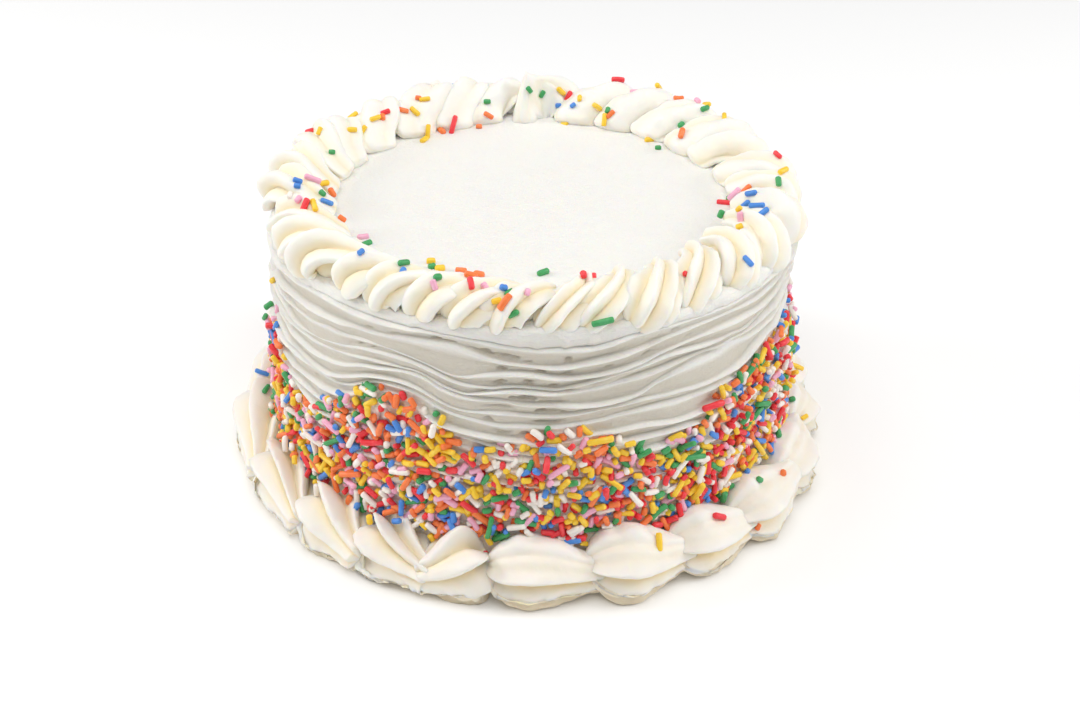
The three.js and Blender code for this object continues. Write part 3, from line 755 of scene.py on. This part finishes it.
def capsule(centre, axis, normal, length, radius, bend):
    """Points of one strand: a slightly bent rod with rounded ends."""
    half = length / 2 - radius * 0.42
    side = axis.cross(normal).normalized()
    out = side.cross(axis).normalized()
    profile = [(-half - radius * 0.36, 0.62), (-half - radius * 0.14, 0.90), (-half + 0.2 * radius, 1.0),
               (0.0, 1.0), (half - 0.2 * radius, 1.0), (half + radius * 0.14, 0.90),
               (half + radius * 0.36, 0.62)]
    reach = max(half, 0.1)
    pts = []
    sway = rnd.uniform(0, 2 * math.pi)
    lump = [rnd.uniform(0.93, 1.05) for _ in profile]

    def spine(x):
        bow = bend * (1 - (x / (reach + radius)) ** 2)
        return centre + axis * x + (side * math.cos(sway) + out * math.sin(sway)) * bow

    pts.append(spine(-half - radius * 0.42))
    for (x, f), lf in zip(profile, lump):
        c = spine(x)
        for j in range(SIDES):
            t = 2 * math.pi * j / SIDES
            pts.append(c + (side * math.cos(t) + out * math.sin(t)) * (radius * f * lf))
    pts.append(spine(half + radius * 0.42))
    return pts


def add_strand(colour, centre, axis, normal, length, radius=None, bend=None):
    radius = radius or STRAND_R * rnd.uniform(0.88, 1.1)
    if bend is None:
        bend = rnd.uniform(0, 0.35) if rnd.random() < 0.6 else rnd.uniform(0.3, 0.9) * length / 8
    strands[colour].append(capsule(centre, axis.normalized(), normal.normalized(), max(length, radius * 2.3), radius, bend))


names = list(STRANDS)
shares = [STRANDS[k][2] for k in names]


def pick():
    return rnd.choices(names, shares)[0]


def surface(a, z):
    """The icing under a point of the wall, found by looking in at it."""
    o = Vector((150 * math.cos(a), 150 * math.sin(a), z))
    hit, normal, _, _ = tree.ray_cast(o, Vector((-math.cos(a), -math.sin(a), 0)), 200)
    return hit, normal


cells = {}


def crowd(points):
    n = 0
    for x, z in points:
        cx, cz = int(x // 2), int(z // 2)
        for dx in (-1, 0, 1):
            for dz in (-1, 0, 1):
                for (qx, qz) in cells.get((cx + dx, cz + dz), ()):
                    if (qx - x) ** 2 + (qz - z) ** 2 < 1.62 ** 2:
                        n += 1
    return n


def occupy(points):
    for x, z in points:
        cells.setdefault((int(x // 2), int(z // 2)), []).append((x, z))


placed = 0
for attempt in range(26000):
    if placed >= 3300:
        break
    a = rnd.uniform(0, 2 * math.pi)
    top = float(band_top(np.array([a]))[0])
    z = rnd.uniform(9, top + 2)
    if z > top - 7 and rnd.random() > 0.35 + 0.6 * (top - z + 2) / 9:
        continue
    kind = rnd.random()
    length = rnd.uniform(2.6, 4.0) if kind < 0.4 else rnd.uniform(4.0, 6.2) if kind < 0.85 else rnd.uniform(6.2, 9.2)
    tilt = rnd.uniform(0, math.pi)
    half = length / 2
    pts = [(a * 97 + math.cos(tilt) * half * f, z + math.sin(tilt) * half * f) for f in (-0.75, 0.0, 0.75)]
    n = crowd(pts)
    if n > (5 if z < top - 9 else 3):
        continue
    hit, normal = surface(a, z)
    if hit is None or math.hypot(hit.x, hit.y) > 101.5 or hit.z > 90:
        continue
    occupy(pts)
    rad = Vector((math.cos(a), math.sin(a), 0))
    tan = Vector((-math.sin(a), math.cos(a), 0))
    normal = (rad * 0.8 + normal * 0.4).normalized()
    axis = tan * math.cos(tilt) + Vector((0, 0, 1)) * math.sin(tilt)
    axis = (axis - normal * axis.dot(normal)).normalized()
    lean = rnd.gauss(0, 0.12 if n == 0 else 0.3)
    lift = 0.6 + 0.5 * n
    if rnd.random() < 0.19:
        lean = rnd.choice((-1, 1)) * rnd.uniform(1.2, 4.0)
        length = rnd.uniform(2.6, 4.2)
        lift = 0.9 + 0.3 * n
        axis = (axis + normal * lean).normalized()
        add_strand(pick(), hit + normal * lift, axis, tan, length, bend=0.0)
    else:
        axis = (axis + normal * lean).normalized()
        add_strand(pick(), hit + normal * (lift + min(abs(lean), 0.5) * half * 0.4), axis, rad, length)
    placed += 1

# Loose strands on the borders, placed where the photograph shows them:
# (pixel u, v, angle in the picture in degrees, length, colour)
LOOSE = [
    (658, 542, 88, 6.5, "yellow"), (718, 517, 2, 6.0, "red"), (757, 527, 60, 2.6, "orange"),
    (758, 480, 0, 2.6, "green"), (782, 474, 70, 2.8, "orange"), (792, 400, 20, 2.6, "green"),
    (262, 373, 165, 6.0, "blue"), (270, 307, 20, 4.0, "green"), (274, 282, 80, 3.0, "yellow"),
    # left side of the top edge
    (297, 182, 20, 3.6, "blue"), (297, 187, 0, 2.6, "blue"), (312, 180, 10, 6.5, "pink"),
    (324, 184, 20, 4.0, "yellow"), (322, 194, 130, 2.8, "green"), (332, 192, 120, 4.0, "orange"),
    (304, 208, 68, 7.4, "red"), (314, 206, 100, 5.2, "yellow"), (326, 203, 15, 5.2, "blue"),
    (341, 220, 10, 3.2, "orange"), (299, 200, 60, 3.0, "pink"), (290, 196, 90, 2.8, "white"),
    (367, 245, 60, 4.2, "green"), (361, 253, 50, 2.6, "blue"), (363, 238, 30, 4.2, "pink"),
    (403, 264, 30, 4.4, "green"), (402, 271, 60, 2.6, "blue"),
    (431, 263, 5, 3.2, "yellow"), (432, 268, 40, 2.6, "green"), (440, 270, 25, 3.6, "yellow"),
    (437, 278, 20, 2.8, "green"), (434, 285, 110, 3.8, "pink"),
    (461, 272, 165, 4.0, "orange"), (470, 277, 10, 4.4, "orange"), (479, 276, 140, 4.0, "orange"),
    (470, 284, 95, 4.4, "red"), (485, 288, 130, 4.0, "pink"),
    (503, 288, 0, 2.5, "blue"), (508, 293, 30, 3.4, "green"), (496, 301, 10, 3.4, "yellow"),
    (506, 303, 52, 6.2, "orange"), (514, 314, 20, 4.0, "green"),
    (543, 274, 55, 4.6, "green"), (526, 292, 40, 2.4, "pink"),
    (582, 276, 80, 2.8, "red"), (587, 280, 85, 5.6, "white"), (592, 277, 60, 2.8, "red"),
    (603, 322, 12, 7.4, "green"), (685, 275, 0, 2.4, "red"),
    (748, 262, 120, 4.8, "blue"),
    # right side of the top edge
    (725, 204, 160, 6.4, "red"), (735, 195, 10, 6.0, "pink"), (747, 189, 40, 4.6, "orange"),
    (752, 194, 165, 5.0, "blue"), (746, 205, 20, 4.8, "blue"), (757, 207, 130, 6.0, "blue"),
    (764, 213, 45, 4.4, "blue"), (740, 210, 0, 2.6, "yellow"), (740, 228, 0, 2.4, "yellow"),
    (723, 215, 20, 3.2, "green"), (742, 217, 70, 4.0, "pink"), (729, 200, 0, 2.3, "green"),
    # back of the top edge
    (352, 131, 15, 4.0, "yellow"), (363, 132, 55, 5.5, "yellow"), (375, 119, 40, 5.0, "yellow"),
    (386, 113, 10, 4.0, "red"), (382, 118, 80, 3.0, "orange"), (403, 111, 170, 4.5, "orange"),
    (418, 99, 0, 2.6, "orange"), (425, 100, 10, 4.5, "yellow"), (415, 112, 130, 5.0, "yellow"),
    (427, 132, 95, 6.5, "yellow"), (424, 141, 75, 4.5, "yellow"), (442, 132, 105, 5.0, "orange"),
    (453, 125, 75, 8.0, "red"), (487, 102, 5, 3.0, "green"), (488, 116, 155, 4.5, "orange"),
    (479, 128, 0, 2.6, "orange"), (529, 90, 130, 3.2, "green"), (542, 94, 60, 3.4, "green"),
    (558, 106, 0, 2.6, "blue"), (573, 106, 40, 2.6, "blue"), (560, 92, 170, 4.5, "yellow"),
    (568, 96, 60, 4.6, "red"), (580, 99, 90, 3.0, "yellow"), (565, 123, 45, 3.6, "yellow"),
    (597, 107, 145, 4.6, "yellow"), (605, 120, 85, 5.5, "yellow"), (611, 115, 40, 4.2, "orange"),
    (608, 111, 80, 3.0, "green"), (650, 141, 30, 4.6, "yellow"), (658, 149, 0, 2.6, "green"),
    (682, 126, 80, 3.0, "green"), (682, 134, 85, 4.8, "orange"), (332, 153, 0, 2.6, "green"),
]
for u, v, deg, length, colour in LOOSE:
    hit, normal = sight(u, v)
    if hit is None:
        continue
    d = right * math.cos(deg * DEG) + up * math.sin(deg * DEG)
    axis = d - normal * d.dot(normal)
    if axis.length < 0.3:
        axis = normal.orthogonal()
    add_strand(colour, hit + normal * 0.62, axis.normalized(), normal, length, bend=rnd.uniform(0, 0.3))

# A few more strands on the borders of the far side.
for _ in range(34):
    a = math.radians(rnd.uniform(-10, 190))
    radius = rnd.choice([rnd.uniform(88, 96), rnd.uniform(103, 113)])
    o = Vector((radius * math.cos(a), radius * math.sin(a), 150))
    hit, normal, _, _ = tree.ray_cast(o, Vector((0, 0, -1)), 200)
    if hit is None or normal.z < 0.25:
        continue
    t = rnd.uniform(0, math.pi)
    axis = Vector((math.cos(t), math.sin(t), 0))
    axis = (axis - normal * axis.dot(normal)).normalized()
    add_strand(pick(), hit + normal * 0.62, axis, normal, min(8, max(3, rnd.gauss(5, 1.3))))

print("strands", sum(len(v) for v in strands.values()), "icing triangles", sum(len(f) - 2 for f in tree_faces))
rings = 7
cq, ct = tube_faces(rings, SIDES)
for colour, items in strands.items():
    if not items:
        continue
    verts = np.array([[tuple(p) for p in item] for item in items])
    n, m, _ = verts.shape
    offsets = (np.arange(n) * m)[:, None, None]
    ob = mesh_object(f"strands_{colour}", verts.reshape(-1, 3),
                     (cq[None] + offsets).reshape(-1, 4), (ct[None] + offsets).reshape(-1, 3))
    ob.data.materials.append(strand_material(f"sugar_{colour}", *STRANDS[colour][:2]))
    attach(ob, "root")

# ---------------------------------------------------------------- floor and light
me = bpy.data.meshes.new("floor")
me.from_pydata([(-6, -6, 0), (6, -6, 0), (6, 6, 0), (-6, 6, 0)], [], [(0, 1, 2, 3)])
floor = bpy.data.objects.new("floor", me)
bpy.context.scene.collection.objects.link(floor)
fm, fnt, fb = nodes_of("floor_white")
fb.inputs["Base Color"].default_value = (0.985, 0.985, 0.98, 1)
fb.inputs["Roughness"].default_value = 0.7
fb.inputs["Specular IOR Level"].default_value = 0.2
floor.data.materials.append(fm)

world = bpy.data.worlds.new("studio")
world.use_nodes = True
world.node_tree.nodes["Background"].inputs["Color"].default_value = (1.0, 1.0, 1.0, 1)
world.node_tree.nodes["Background"].inputs["Strength"].default_value = 0.27
bpy.context.scene.world = world


def soft_light(name, at, size, power, colour=(1, 1, 1)):
    data = bpy.data.lights.new(name, "AREA")
    data.shape = "DISK"
    data.size = size
    data.energy = power
    data.color = colour
    ob = bpy.data.objects.new(name, data)
    ob.location = at
    ob.rotation_mode = "QUATERNION"
    ob.rotation_quaternion = (Vector((0, 0, 0.06)) - Vector(at)).to_track_quat("-Z", "Y")
    bpy.context.scene.collection.objects.link(ob)


soft_light("overhead", (-0.1, -0.28, 2.1), 2.4, 28.8)
soft_light("left", (-1.3, 0.05, 0.7), 0.6, 7.8)
soft_light("right", (1.3, 0.0, 0.75), 0.6, 7.3)
soft_light("front", (0.15, -1.3, 1.5), 1.0, 3.0)

bpy.context.scene.view_settings.view_transform = "Standard"
bpy.context.scene.view_settings.look = "None"
bpy.context.scene.view_settings.exposure = 0.0
bpy.context.scene.view_settings.gamma = 1.1
